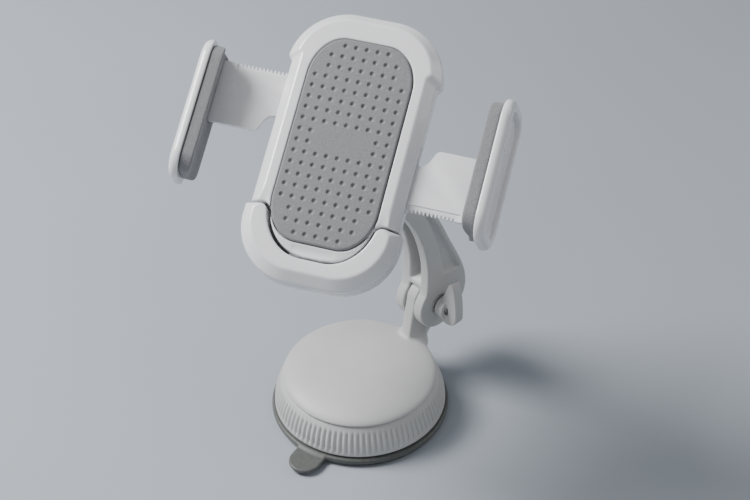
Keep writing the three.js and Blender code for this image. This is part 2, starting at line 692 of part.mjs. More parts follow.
// One slider, drawn as the left one; the right one is the same part turned half round.
function slider() {
  const rackTip = PITCH_R - MODULE + BACKLASH;
  const end = GRIP_X + JAW_PAD_T + 3;
  const shape = new THREE.Shape();
  shape.moveTo(SLIDER_END, rackTip + 2.25 * MODULE);
  shape.lineTo(SLIDER_END, SLIDER_OUT - 1.2);
  shape.lineTo(SLIDER_END - 1.2, SLIDER_OUT);
  fineTeeth(shape, SLIDER_END - 2, -GRIP_X + FINE_START);
  shape.lineTo(-end, SLIDER_OUT);
  shape.lineTo(-end, -SLIDER_IN);
  shape.lineTo(-STEP_X - 4, -SLIDER_IN);
  shape.bezierCurveTo(-STEP_X - 1.5, -SLIDER_IN, -STEP_X - 2, rackTip, -STEP_X + 2, rackTip);
  shape.lineTo(-STEP_X + 4, rackTip);
  rackTeeth(shape, -STEP_X + 5, SLIDER_END - 1, rackTip);
  shape.closePath();
  const stripLow = [-GRIP_X + 2, SLIDER_OUT - STRIP_W, SLIDER_TOP - STRIP_STEP];
  const strip = box(stripLow, [SLIDER_END + 1, SLIDER_OUT + 1, SLIDER_TOP + 1]);
  return minus(prism(shape, SLIDER_LOW, SLIDER_TOP, 6), strip);
}

function fineTeeth(shape, from, to) {
  const count = Math.floor((from - to) / FINE_PITCH);
  for (let i = 0; i < count; i += 1) {
    const x = from - i * FINE_PITCH;
    shape.lineTo(x, SLIDER_OUT);
    shape.lineTo(x - 0.15, SLIDER_OUT - FINE_DEPTH);
    shape.lineTo(x - 0.6, SLIDER_OUT - FINE_DEPTH);
    shape.lineTo(x - 0.95, SLIDER_OUT);
  }
}

// Rack teeth with straight 20 degree sides, one space centred on x = 0.
function rackTeeth(shape, from, to, tip) {
  const pitch = Math.PI * MODULE;
  const side = 2.25 * MODULE * Math.tan(rad(20));
  const rootHalf = pitch / 4 + 1.25 * MODULE * Math.tan(rad(20)) - BACKLASH / 2;
  const first = Math.ceil((from + rootHalf) / pitch - 0.5);
  for (let i = first; (i + 0.5) * pitch + rootHalf < to; i += 1) {
    const x = (i + 0.5) * pitch;
    shape.lineTo(x - rootHalf, tip + 2.25 * MODULE);
    shape.lineTo(x - rootHalf + side, tip);
    shape.lineTo(x + rootHalf - side, tip);
    shape.lineTo(x + rootHalf, tip + 2.25 * MODULE);
  }
}

// Half the angle a 20 degree involute tooth spans at radius r.
function toothHalfAngle(r, baseR) {
  const involute = (q) => {
    const c = Math.min(1, baseR / q);
    return Math.tan(Math.acos(c)) - Math.acos(c);
  };
  const pitchHalf = Math.PI / (2 * PINION_TEETH) - BACKLASH / 2 / PITCH_R;
  return pitchHalf + involute(PITCH_R) - involute(Math.max(r, baseR));
}

function pinion() {
  const baseR = PITCH_R * Math.cos(rad(20));
  const rootR = PITCH_R - 1.25 * MODULE;
  const tipR = PITCH_R + MODULE - 0.06;
  const shape = new THREE.Shape();
  const radii = [rootR, baseR, PITCH_R, tipR];
  for (let i = 0; i < PINION_TEETH; i += 1) {
    const mid = Math.PI / 2 + (i / PINION_TEETH) * 2 * Math.PI;
    const flank = radii.map((r) => [r, toothHalfAngle(r, baseR)]);
    const rising = flank.map(([r, a]) => [r, mid - a]);
    const falling = flank.reverse().map(([r, a]) => [r, mid + a]);
    const points = [...rising, ...falling];
    points.forEach(([r, a], k) => {
      const act = i === 0 && k === 0 ? 'moveTo' : 'lineTo';
      shape[act](r * Math.cos(a), r * Math.sin(a));
    });
  }
  shape.closePath();
  const z0 = SLIDER_LOW + 0.1;
  const gear = prism(shape, z0, z0 + SLIDER_T - 0.2, 1);
  return gear.subtract(column(1.3 + RUN, z0 - 1, z0 + 3, 24));
}

function pinionScrew() {
  const top = SLIDER_TOP + 0.1;
  const low = BACK_W + 2.3;
  return turned([
    [0, low], [0.8, low], [0.8, top - SLIDER_T - 0.3], [1.3, top - SLIDER_T - 0.3], [1.3, top],
    [2.3, top], [2.3, top + 0.7], [0, top + 0.7],
  ], 16);
}

function openingSpring() {
  const z = BACK_W + WALL + 1.1;
  return coil(3.4, 0.7, 4, z, z, 10.4);
}

function pawl() {
  const z0 = SLIDER_LOW + 0.2;
  const z1 = SLIDER_TOP - 0.2;
  const tip = -SLIDER_OUT - 0.35;
  const shape = new THREE.Shape();
  shape.moveTo(-9.5, PAWL_Y - 2.6);
  shape.lineTo(PAWL_X, PAWL_Y - 3);
  shape.lineTo(PAWL_X + 10.5, PAWL_Y + 0.6);
  shape.lineTo(PAWL_X + 11.2, tip - 1.1);
  shape.lineTo(PAWL_X + 10.9, tip);
  shape.lineTo(PAWL_X + 10.4, tip);
  shape.lineTo(PAWL_X + 9.6, tip - 1.1);
  shape.lineTo(PAWL_X + 3, PAWL_Y + 2.6);
  shape.lineTo(PAWL_X - 2.6, PAWL_Y + 2.6);
  shape.lineTo(-9.5, PAWL_Y + 0.2);
  shape.closePath();
  const bore = column(PAWL_POST_R + RUN, z0 - 1, z1 + 1, 20).translate([PAWL_X, PAWL_Y, 0]);
  return prism(shape, z0, z1).subtract(bore);
}

function pawlSpring() {
  const low = BACK_W + WALL + 0.6;
  return coil(2.5, 0.5, 2.5, low, low + 1.6).translate([PAWL_X, PAWL_Y, 0]);
}

function coverScrew(x, y) {
  const seat = BACK_W + 2.1;
  const top = FACE_W - SPLIT_D + 1.6;
  const body = turned([
    [0, seat - 1.3], [1.9, seat - 1.3], [1.9, seat], [SCREW_R, seat], [SCREW_R, top], [0, top],
  ], 12);
  const slot = box([-1.2, -0.25, seat - 2], [1.2, 0.25, seat - 0.8]);
  return body.subtract(slot).translate([x, y, 0]);
}

// ---- Jaws, drawn as the left one ----

function jawPlate(thick, length, depth, corner) {
  const shape = roundedRect(depth, length, corner);
  const geometry = new THREE.ExtrudeGeometry(shape, { depth: thick, bevelEnabled: false, curveSegments: 5 });
  geometry.rotateY(-Math.PI / 2);
  return solid(geometry);
}

// The slot in a jaw for the slider's end; the right slider lies the other way up.
function sliderSlot(x0, x1, side) {
  const low = side < 0 ? -SLIDER_IN - GAP : -SLIDER_OUT - GAP;
  const high = side < 0 ? SLIDER_OUT + GAP : SLIDER_IN + GAP;
  return box([x0, low, SLIDER_LOW - GAP], [x1, high, SLIDER_TOP + GAP]);
}

// Turns a left jaw piece about its front edge, so that its rear stands further out.
function leaning(body) {
  const front = FACE_W + JAW_FRONT;
  return body.translate([GRIP_X, 0, -front]).rotate([0, JAW_LEAN, 0]).translate([-GRIP_X, 0, front]);
}

function handed(body, side) {
  return side < 0 ? body : body.mirror([1, 0, 0]);
}

function jawShell(side) {
  const outer = -GRIP_X - JAW_PAD_T - GAP;
  const plate = jawPlate(JAW_SHELL_T, JAW_H, JAW_DEPTH, JAW_CORNER)
    .translate([outer, JAW_SHIFT, JAW_MIDDLE]);
  const recess = jawPlate(2, JAW_H - 11, JAW_DEPTH - 10, JAW_CORNER - 4)
    .translate([outer - JAW_SHELL_T + 1.2, JAW_SHIFT, JAW_MIDDLE - 1]);
  const shell = leaning(minus(plate, recess));
  return handed(shell.subtract(sliderSlot(outer - 3.2, outer + 2, side)), side);
}

function jawPad(side) {
  const plate = jawPlate(JAW_PAD_T, JAW_H - 5, JAW_DEPTH - 4, JAW_CORNER - 3)
    .translate([-GRIP_X, JAW_SHIFT, JAW_MIDDLE + 1.6]);
  const trough = new THREE.CylinderGeometry(16, 16, JAW_H + 10, 36);
  trough.translate(-GRIP_X + 14.6, JAW_SHIFT, JAW_MIDDLE + 2);
  const slot = sliderSlot(-GRIP_X - JAW_PAD_T - 3, -GRIP_X + 1, side);
  return handed(leaning(plate.subtract(solid(trough))).subtract(slot), side);
}

function turnedOver(mesh) {
  mesh.rotation.z = Math.PI;
  return mesh;
}

// ---- Assembly ----

const group = new THREE.Group();
group.name = 'car_phone_mount';

const base = new THREE.Group();
base.name = 'base_group';
group.add(base);
piece(base, 'gel_layer', gelLayer(), CUP_GREY);
piece(base, 'suction_cup', suctionCup(), CUP_GREY);
piece(base, 'base_body', baseBody(), INNER_BLACK);
piece(base, 'lock_ring', lockRing(), SATIN_WHITE);
piece(base, 'dome', dome(), SATIN_WHITE);
piece(base, 'dome_screw', domeScrew(), STEEL);
piece(base, 'plunger', plunger(), INNER_BLACK);
piece(base, 'cam_pin', rod(CAM_PIN_R, -CAM_PIN_HALF, CAM_PIN_HALF, 16).translate([0, 0, CAM_PIN_Z]), STEEL);
piece(base, 'plunger_spring', coil(4.2, SPRING_WIRE, 3, 5, DECK_Z - 0.7), STEEL);

const armGroup = new THREE.Group();
armGroup.name = 'arm_group';
group.add(armGroup);
piece(armGroup, 'arm', armPiece(), SATIN_WHITE);
piece(armGroup, 'hinge_bolt', hingeBolt(), STEEL);
piece(armGroup, 'hinge_washer', hingeWasher(), STEEL);
piece(armGroup, 'hinge_knob', hingeKnob(), SATIN_WHITE);
piece(armGroup, 'knob_nut', knobNut(), BRASS);

const cradle = new THREE.Group();
cradle.name = 'cradle_group';
cradle.position.set(0, BALL_Y, BALL_Z);
cradle.quaternion.setFromEuler(new THREE.Euler(rad(TILT), 0, rad(YAW), 'ZXY'));
cradle.rotateZ(rad(ROLL));
group.add(cradle);
piece(cradle, 'socket_gasket', gasket(), INNER_BLACK);
piece(cradle, 'collar_nut', collarNut(), SATIN_WHITE);
piece(cradle, 'rear_cover', rearCover(), GLOSS_WHITE);
piece(cradle, 'front_frame', frontFrame(), GLOSS_WHITE);
piece(cradle, 'grip_pad', gripPad(), PAD_GREY);
piece(cradle, 'release_button', bottomButton(), GLOSS_WHITE);
piece(cradle, 'pinion', pinion(), ACETAL);
piece(cradle, 'pinion_screw', pinionScrew(), STEEL);
piece(cradle, 'opening_spring', openingSpring(), STEEL);
piece(cradle, 'pawl', pawl(), ACETAL);
piece(cradle, 'pawl_spring', pawlSpring(), STEEL);
SCREWS.forEach(([x, y], i) => piece(cradle, `cover_screw_${i + 1}`, coverScrew(x, y), STEEL));
piece(cradle, 'slider_left', slider(), GLOSS_WHITE);
turnedOver(piece(cradle, 'slider_right', slider(), GLOSS_WHITE));
for (const [label, side] of [['left', -1], ['right', 1]]) {
  piece(cradle, `jaw_shell_${label}`, jawShell(side), GLOSS_WHITE);
  piece(cradle, `jaw_pad_${label}`, jawPad(side), PAD_GREY);
}

export default group;
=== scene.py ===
"""The looks of the car phone mount, built around its CAD part.

Lengths are in millimetres until a mesh is made.
"""

import json
import math

import bmesh
import bpy
import numpy as np
from mathutils import Matrix, Vector


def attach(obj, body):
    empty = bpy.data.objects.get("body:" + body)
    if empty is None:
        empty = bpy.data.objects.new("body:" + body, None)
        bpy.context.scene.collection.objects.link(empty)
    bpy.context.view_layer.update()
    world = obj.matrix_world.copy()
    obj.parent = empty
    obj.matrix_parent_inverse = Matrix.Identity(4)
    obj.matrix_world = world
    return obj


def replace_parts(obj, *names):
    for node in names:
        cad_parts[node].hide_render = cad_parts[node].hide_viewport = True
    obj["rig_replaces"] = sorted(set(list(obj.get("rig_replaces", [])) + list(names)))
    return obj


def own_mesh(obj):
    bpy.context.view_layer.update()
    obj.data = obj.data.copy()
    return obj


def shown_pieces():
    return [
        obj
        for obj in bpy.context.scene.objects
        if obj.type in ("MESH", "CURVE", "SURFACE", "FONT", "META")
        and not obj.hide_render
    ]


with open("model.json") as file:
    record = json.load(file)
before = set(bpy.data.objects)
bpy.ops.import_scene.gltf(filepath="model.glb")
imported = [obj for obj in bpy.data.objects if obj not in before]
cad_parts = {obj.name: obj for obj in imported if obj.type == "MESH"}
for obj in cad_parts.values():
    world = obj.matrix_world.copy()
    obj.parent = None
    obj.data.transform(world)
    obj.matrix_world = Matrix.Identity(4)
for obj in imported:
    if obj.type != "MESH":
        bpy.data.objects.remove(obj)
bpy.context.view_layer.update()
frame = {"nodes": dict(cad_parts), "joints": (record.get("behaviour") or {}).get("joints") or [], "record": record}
JOINTS = {j["name"]: j for j in frame["joints"]}
MM = 0.001
CLEAR = 0.3

# Cradle
CORNER_R = 21.5
WAIST_CUT = 1.7
WAIST_FROM_TOP = 25.7
WAIST_FROM_BOTTOM = 22.5
EDGE_ROUND = 1.1
EDGE_CHAMFER = 3.9
EDGE_BLEND = 0.5
WALL = 1.8
PAD_CORNER = (12.0, 15.5)
SEAM_CORNER = (16.0, 19.5)
SEAM_OUT = (1.0, 5.6)
SEAM_GAP = 1.1
ARM_TOP_DROP = 1.4
COVE_DEPTH = 1.1
DIMPLE = (4.0, 4.18, 0.85, 0.72)
FINGER_X = (-9.0, -5.0)
RAIL_X = 12.0
CUP_INNER_R = 10.2
CUP_WALL = 2.2
RING_KEEP_R = 29.2

# Jaws
JAW_LEAN = 7.0
JAW_PAD_T = 4.4
JAW_SHELL_T = 3.6
JAW_CORNER = 8.5
RECESS_DEPTH = 1.9
RECESS_RIM = 4.2
JAW_DEPTH = 24.0

# Base
GROOVE_R = 31.4
GROOVE_Z = 17.4
DOME_TOP = 23.6
DOME_POWER = 2.3
DOME_WALL = 2.0
LUG_HALF = 2.6
FLUTES = 92
FLUTE_DEPTH = 0.9
TAB_HALF = 6.5
TAB_LENGTH = 47.0
TAB_ANGLE = 165.0

# Camera: a 79 mm lens, seen from the front right and above
CAMERA_AT = (0.3676, -0.3212, 0.4816)
CAMERA_AIM = (-0.5748, 0.5176, -0.6338)
CAMERA_ROLL = 1.15
CAMERA_LENS = 79.2

# Studio: each light's name, place in metres, size and power
FLOOR_HALF = 14.0
FLOOR_TONES = ((0.33, 0.36, 0.4), (0.36, 0.39, 0.43))
LIGHTS = (
    ("key", (-0.5, -0.35, 0.75), 0.4, 15.0),
    ("fill", (0.5, -0.8, 0.35), 0.9, 1.6),
    ("back", (0.5, 0.8, 0.6), 0.6, 2.5),
)


# ---- Distance fields: below zero inside a shape ----

def rounded_rect(x, y, half_w, half_h, rx, ry, cy=0.0):
    """A rectangle with elliptical corners."""
    qx = np.abs(x) - (half_w - rx)
    qy = np.abs(y - cy) - (half_h - ry)
    corner = (np.hypot(np.maximum(qx, 0) / rx, np.maximum(qy, 0) / ry) - 1) * min(rx, ry)
    return np.where((qx > 0) & (qy > 0), corner, np.maximum(qx - rx, qy - ry))


def round_max(a, b, r):
    """Both shapes, with the edge between them rounded to radius r."""
    return np.minimum(-r, np.maximum(a, b)) + np.hypot(np.maximum(a + r, 0), np.maximum(b + r, 0))


def soft_max(a, b, k):
    h = np.maximum(k - np.abs(a - b), 0) / k
    return np.maximum(a, b) + h * h * k / 4


def soft_min(a, b, k):
    return -soft_max(-a, -b, k)


def block(x, y, z, low, high):
    d = [np.maximum(l - v, v - h) for v, l, h in zip((x, y, z), low, high)]
    return np.maximum(np.maximum(d[0], d[1]), d[2])


def capsule(u, v, a, ra, b, rb):
    """Two discs of different size and the strip between them."""
    dx, dy = b[0] - a[0], b[1] - a[1]
    t = np.clip(((u - a[0]) * dx + (v - a[1]) * dy) / (dx * dx + dy * dy), 0, 1)
    return np.hypot(u - a[0] - t * dx, v - a[1] - t * dy) - (ra + (rb - ra) * t)


# ---- Meshes ----

def new_object(name, points, faces, matrix=Matrix.Identity(4)):
    mesh = bpy.data.meshes.new(name)
    count = len(faces)
    mesh.vertices.add(len(points))
    mesh.vertices.foreach_set("co", np.asarray(points, np.float32).ravel())
    mesh.loops.add(count * 4)
    mesh.loops.foreach_set("vertex_index", np.asarray(faces, np.int32).ravel())
    mesh.polygons.add(count)
    mesh.polygons.foreach_set("loop_start", np.arange(count, dtype=np.int32) * 4)
    mesh.update(calc_edges=True)
    mesh.validate()
    mesh.transform(matrix @ Matrix.Scale(MM, 4))
    mesh.polygons.foreach_set("use_smooth", [True] * len(mesh.polygons))
    made = bpy.data.objects.new(name, mesh)
    bpy.context.scene.collection.objects.link(made)
    return made


def sculpt(name, field, low, high, cell, matrix=Matrix.Identity(4), keep=0.35):
    """The closed surface on which field(x, y, z) is zero, inside a box, as a mesh."""
    low = np.asarray(low, float) - 2 * cell
    counts = np.ceil((np.asarray(high, float) + 2 * cell - low) / cell).astype(int) + 1
    axes = [low[k] + cell * np.arange(counts[k]) for k in range(3)]
    value = field(*np.meshgrid(*axes, indexing="ij")).astype(np.float32)
    value = np.where(np.abs(value) < 1e-5, 1e-5, value)
    total = np.zeros(tuple(counts - 1) + (3,), np.float32)
    count = np.zeros(tuple(counts - 1), np.float32)
    crossings = []
    for axis in range(3):
        moved = np.moveaxis(value, axis, 0)
        first, second = moved[:-1], moved[1:]
        cross = (first < 0) != (second < 0)
        share = np.where(cross, first / np.where(cross, first - second, 1), 0)
        crossings.append((cross, first < 0))
        sums = np.moveaxis(total, axis, 0)
        hits = np.moveaxis(count, axis, 0)
        others = [k for k in range(3) if k != axis]
        n1, n2 = hits.shape[1], hits.shape[2]
        for u in (0, 1):
            for v in (0, 1):
                here = cross[:, u:u + n1, v:v + n2]
                hits += here
                sums[..., axis] += share[:, u:u + n1, v:v + n2]
                sums[..., others[0]] += u * here
                sums[..., others[1]] += v * here
    active = count > 0
    index = np.full(active.shape, -1, np.int64)
    index[active] = np.arange(active.sum())
    points = (np.argwhere(active) + total[active] / count[active][:, None]) * cell + low
    faces = []
    for axis in range(3):
        cross, rising = crossings[axis]
        cells = np.moveaxis(index, axis, 0)
        quads = np.stack([cells[:, :-1, :-1], cells[:, 1:, :-1], cells[:, 1:, 1:], cells[:, :-1, 1:]], -1)
        hit = cross[:, 1:-1, 1:-1]
        found, out = quads[hit], rising[:, 1:-1, 1:-1][hit]
        if axis == 1:
            out = ~out
        faces.append(np.where(out[:, None], found, found[:, ::-1]))
    made = new_object(name, points, np.concatenate(faces), matrix)
    return thinned(made, keep)


def baked(made):
    """Replaces a mesh with what its modifiers make of it."""
    graph = bpy.context.evaluated_depsgraph_get()
    mesh = bpy.data.meshes.new_from_object(made.evaluated_get(graph))
    made.modifiers.clear()
    made.data = mesh
    mesh.polygons.foreach_set("use_smooth", [True] * len(mesh.polygons))
    return made


def thinned(made, keep):
    """Drops the vertices that a flat or gently curved surface doesn't need."""
    if keep < 1:
        modifier = made.modifiers.new("thin", "DECIMATE")
        modifier.ratio = keep
        baked(made)
    return made


def turned(name, profile, steps, radius=None):
    """A closed profile of (radius, height) turned about Z; radius(r, z, angle) may press it in."""
    points, faces = [], []
    size = len(profile)
    for i in range(steps):
        a = 2 * math.pi * i / steps
        for r, z in profile:
            q = radius(r, z, a) if radius else r
            points.append((q * math.cos(a), q * math.sin(a), z))
    for i in range(steps):
        for j in range(size):
            a, b = i * size, ((i + 1) % steps) * size
            k = (j + 1) % size
            faces.append((a + j, b + j, b + k, a + k))
    return new_object(name, points, faces)


def softened(name, node, matrix, cell, passes):
    """A CAD node's own shape with its edges worn round."""
    mesh = frame["nodes"][node].data.copy()
    mesh.transform(matrix.inverted())
    made = bpy.data.objects.new(name, mesh)
    bpy.context.scene.collection.objects.link(made)
    remesh = made.modifiers.new("remesh", "REMESH")
    remesh.mode = "VOXEL"
    remesh.voxel_size = cell * MM
    smooth = made.modifiers.new("smooth", "SMOOTH")
    smooth.factor = 0.5
    smooth.iterations = passes
    thin = made.modifiers.new("thin", "DECIMATE")
    thin.ratio = 0.4
    baked(made)
    made.data.transform(matrix)
    return made


def edged(name, node, width):
    """A CAD node's own shape with a fine bevel along its edges."""
    made = bpy.data.objects.new(name, frame["nodes"][node].data.copy())
    bpy.context.scene.collection.objects.link(made)
    weld = made.modifiers.new("weld", "WELD")
    weld.merge_threshold = 1e-6
    merge = made.modifiers.new("merge", "DECIMATE")
    merge.decimate_type = "DISSOLVE"
    merge.angle_limit = math.radians(1)
    bevel = made.modifiers.new("bevel", "BEVEL")
    bevel.width = width * MM
    bevel.segments = 2
    bevel.limit_method = "ANGLE"
    bevel.angle_limit = math.radians(40)
    weighted = made.modifiers.new("weighted", "WEIGHTED_NORMAL")
    weighted.keep_sharp = True
    baked(made)
    return made


def cad_points(node, matrix):
    """A CAD node's points in a frame of its own, in millimetres."""
    inverse = np.array(matrix.inverted())
    points = np.array([v.co for v in frame["nodes"][node].data.vertices], float)
    return (points @ inverse[:3, :3].T + inverse[:3, 3]) / MM


def local_box(node, matrix):
    points = cad_points(node, matrix)
    return points.min(0), points.max(0)


def finish_piece(made, body, node, material):
    made.data.materials.clear()
    made.data.materials.append(material)
    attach(made, body)
    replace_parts(made, node)


# ---- Materials ----

def node_material(name):
    material = bpy.data.materials.new(name)
    material.use_nodes = True
    tree = material.node_tree
    return material, tree, tree.nodes["Principled BSDF"]


def noise(tree, scale, detail=3.0):
    place = tree.nodes.new("ShaderNodeTexCoord")
    texture = tree.nodes.new("ShaderNodeTexNoise")
    texture.inputs["Scale"].default_value = scale
    texture.inputs["Detail"].default_value = detail
    tree.links.new(place.outputs["Object"], texture.inputs["Vector"])
    return texture.outputs["Fac"]


def between(tree, value, low, high):
    """A noise value spread between two numbers."""
    spread = tree.nodes.new("ShaderNodeMapRange")
    spread.inputs["From Min"].default_value = 0.3
    spread.inputs["From Max"].default_value = 0.7
    spread.inputs["To Min"].default_value = low
    spread.inputs["To Max"].default_value = high
    tree.links.new(value, spread.inputs["Value"])
    return spread.outputs["Result"]


def two_tone(tree, value, first, second):
    ramp = tree.nodes.new("ShaderNodeValToRGB")
    ramp.color_ramp.elements[0].position = 0.3
    ramp.color_ramp.elements[0].color = (*first, 1)
    ramp.color_ramp.elements[1].position = 0.7
    ramp.color_ramp.elements[1].color = (*second, 1)
    tree.links.new(value, ramp.inputs["Fac"])
    return ramp.outputs["Color"]


def bumped(tree, shader, value, strength, depth):
    bump = tree.nodes.new("ShaderNodeBump")
    bump.inputs["Strength"].default_value = strength
    bump.inputs["Distance"].default_value = depth
    tree.links.new(value, bump.inputs["Height"])
    tree.links.new(bump.outputs["Normal"], shader.inputs["Normal"])
    return bump


def plastic(name, dark, light, rough, grain_scale, grain, coat=0.0, scatter=0.08):
    """Moulded plastic: a slow change of tone, uneven gloss and a fine moulded grain."""
    material, tree, shader = node_material(name)
    tree.links.new(two_tone(tree, noise(tree, 22, 4), dark, light), shader.inputs["Base Color"])
    tree.links.new(between(tree, noise(tree, 90, 5), *rough), shader.inputs["Roughness"])
    bumped(tree, shader, noise(tree, grain_scale, 2), grain, 0.00006)
    shader.inputs["Subsurface Weight"].default_value = scatter
    shader.inputs["Subsurface Radius"].default_value = (0.002, 0.0018, 0.0015)
    shader.inputs["Subsurface Scale"].default_value = 0.6
    shader.inputs["Coat Weight"].default_value = coat
    shader.inputs["Coat Roughness"].default_value = 0.12
    shader.inputs["IOR"].default_value = 1.49
    return material


def rubber(name, dark, light, rough, speckle_scale, grain):
    """Silicone or rubber: speckled tone, a dull surface with a little sheen, and a fine grain."""
    material, tree, shader = node_material(name)
    speckle = noise(tree, speckle_scale, 6)
    tree.links.new(two_tone(tree, speckle, dark, light), shader.inputs["Base Color"])
    tree.links.new(between(tree, noise(tree, 140, 4), *rough), shader.inputs["Roughness"])
    bumped(tree, shader, speckle, grain, 0.00012)
    shader.inputs["Sheen Weight"].default_value = 0.12
    shader.inputs["Sheen Roughness"].default_value = 0.6
    shader.inputs["IOR"].default_value = 1.43
    return material


def metal(name, dark, light, rough, brushed):
    """Plated or turned metal with fine scratches."""
    material, tree, shader = node_material(name)
    place = tree.nodes.new("ShaderNodeTexCoord")
    stretch = tree.nodes.new("ShaderNodeMapping")
    stretch.inputs["Scale"].default_value = (brushed, 1, 1)
    scratch = tree.nodes.new("ShaderNodeTexNoise")
    scratch.inputs["Scale"].default_value = 300
    scratch.inputs["Detail"].default_value = 4
    tree.links.new(place.outputs["Object"], stretch.inputs["Vector"])
    tree.links.new(stretch.outputs["Vector"], scratch.inputs["Vector"])
    tree.links.new(two_tone(tree, scratch.outputs["Fac"], dark, light), shader.inputs["Base Color"])
    tree.links.new(between(tree, scratch.outputs["Fac"], *rough), shader.inputs["Roughness"])
    bumped(tree, shader, scratch.outputs["Fac"], 0.15, 0.00003)
    shader.inputs["Metallic"].default_value = 1.0
    return material


GLOSS_WHITE = plastic("gloss_white", (0.8, 0.8, 0.815), (0.86, 0.86, 0.87), (0.2, 0.3), 900, 0.05, coat=0.35)
SATIN_WHITE = plastic("satin_white", (0.47, 0.468, 0.46), (0.54, 0.537, 0.529), (0.42, 0.52), 2600, 0.16)
INNER_BLACK = plastic("inner_black", (0.022, 0.022, 0.024), (0.035, 0.035, 0.038), (0.45, 0.6), 2200, 0.2,
                      scatter=0.0)
ACETAL = plastic("acetal", (0.62, 0.61, 0.57), (0.7, 0.69, 0.65), (0.35, 0.45), 1500, 0.1)
PAD_GREY = rubber("pad_grey", (0.16, 0.16, 0.168), (0.25, 0.25, 0.262), (0.6, 0.75), 2400, 0.35)
CUP_GREY = rubber("cup_grey", (0.07, 0.074, 0.07), (0.1, 0.105, 0.098), (0.4, 0.52), 700, 0.12)
GEL = rubber("gel", (0.05, 0.053, 0.048), (0.075, 0.078, 0.07), (0.25, 0.35), 300, 0.08)
STEEL = metal("steel", (0.5, 0.51, 0.52), (0.66, 0.67, 0.68), (0.22, 0.38), 12)
BRASS = metal("brass", (0.56, 0.4, 0.17), (0.7, 0.52, 0.25), (0.25, 0.4), 12)
KEPT = {"gel": GEL, "inner_black": INNER_BLACK, "steel": STEEL, "brass": BRASS, "acetal": ACETAL,
        "gloss_white": GLOSS_WHITE, "satin_white": SATIN_WHITE, "pad_grey": PAD_GREY, "cup_grey": CUP_GREY}


# ---- The cradle's own frame: x right, y up its long side, z out of its face, from the ball's centre ----

RIGHT = Vector(JOINTS["jaw_left_slide"]["axis"]).normalized()
NORMAL = Vector(JOINTS["ball_spin"]["axis"]).normalized()
UP = NORMAL.cross(RIGHT).normalized()
TURNED = Matrix((RIGHT, UP, NORMAL)).transposed().to_4x4()
CRADLE = Matrix.Translation(Vector(JOINTS["ball_spin"]["pos_m"])) @ TURNED

cover_low, cover_high = local_box("rear_cover", CRADLE)
frame_low, frame_high = local_box("front_frame", CRADLE)
pad_low, pad_high = local_box("grip_pad", CRADLE)
button_low, button_high = local_box("release_button", CRADLE)
slider_low, slider_high = local_box("slider_left", CRADLE)
HALF_W = cover_high[0]
MID_Y = (cover_low[1] + cover_high[1]) / 2
HALF_H = (cover_high[1] - cover_low[1]) / 2
RIDGE_X = HALF_W - WAIST_CUT
WAIST_TOP = HALF_H - WAIST_FROM_TOP
WAIST_BOTTOM = WAIST_FROM_BOTTOM - HALF_H
PAD_Y = (pad_low[1] + pad_high[1]) / 2
PAD_HALF = ((pad_high[0] - pad_low[0]) / 2, (pad_high[1] - pad_low[1]) / 2)
FACE = pad_high[2]
SCREWS = [(cad_points(f"cover_screw_{i}", CRADLE).min(0) + cad_points(f"cover_screw_{i}", CRADLE).max(0)) / 2
          for i in (1, 2, 3, 4)]


def outline(x, y):
    """The cradle seen from the front, with the shallow recess along both sides."""
    lobe = rounded_rect(x, y, HALF_W, HALF_H, CORNER_R, CORNER_R, MID_Y)
    middle, half = (WAIST_TOP + WAIST_BOTTOM) / 2, (WAIST_TOP - WAIST_BOTTOM) / 2
    out = np.abs(x) - RIDGE_X
    cut = soft_max(-out, (np.abs(y - middle) - half - out * 0.8) * 0.78, 0.6)
    return soft_max(lobe, -cut, 0.6)


def seam(x, y):
    return rounded_rect(x, y, PAD_HALF[0] + SEAM_OUT[0], PAD_HALF[1] + SEAM_OUT[1], *SEAM_CORNER, PAD_Y)


def button_zone(x, y, margin, corner):
    top = y - (WAIST_BOTTOM - ARM_TOP_DROP + margin)
    return round_max(top, -(seam(x, y) + margin), corner)


def shouldered(x, y, z, top):
    """The outline up to a top face whose outer edge is sloped and rounded."""
    side = outline(x, y)
    body = round_max(side, z - top, EDGE_ROUND)
    slope = (side + z - top + EDGE_CHAMFER) * 0.7071
    return soft_max(body, slope, EDGE_BLEND)


def screw_holes(x, y, radius):
    holes = np.full_like(x, 1e3)
    for spot in SCREWS:
        holes = np.minimum(holes, np.hypot(x - spot[0], y - spot[1]) - radius)
    return holes


def front_frame(x, y, z):
    low, top = frame_low[2], frame_high[2]
    body = np.maximum(shouldered(x, y, z, top), low - z)
    pad = rounded_rect(x, y, PAD_HALF[0] + CLEAR, PAD_HALF[1] + CLEAR, *PAD_CORNER, PAD_Y)
    recess = np.maximum(pad, pad_low[2] - CLEAR - z)
    zone = button_zone(x, y, SEAM_GAP, 3.0)
    beyond = np.clip(pad / SEAM_OUT[1], 0, 1)
    down = np.clip((WAIST_BOTTOM + 6 - y) / 12, 0, 1)
    cove = z - (top - COVE_DEPTH * np.sin(np.pi * beyond) * down * down * (3 - 2 * down))
    hollow = np.maximum(np.maximum(outline(x, y) + WALL + 1, z - low - 1.2), -(zone - WALL - 1))
    holes = np.maximum(screw_holes(x, y, 1.2), z - low - 2)
    body = round_max(np.maximum(body, cove), -recess, 0.35)
    body = round_max(body, -zone, 0.4)
    return np.maximum(np.maximum(body, -hollow), -holes)


def release_button(x, y, z):
    body = np.maximum(shouldered(x, y, z, button_high[2]), button_low[2] - z)
    rim = round_max(body, button_zone(x, y, 0, 2.2), 0.5)
    low_y = button_low[1]
    under = slider_high[2] - 0.1
    floor = button_low[2] + 0.1
    finger = block(x, y, z, (FINGER_X[0], low_y + 3, floor), (FINGER_X[1], button_finger, under))
    rail = block(x, y, z, (-RAIL_X, low_y + 2.4, floor), (RAIL_X, low_y + 6.8, under))
    return np.minimum(np.minimum(rim, finger), rail)


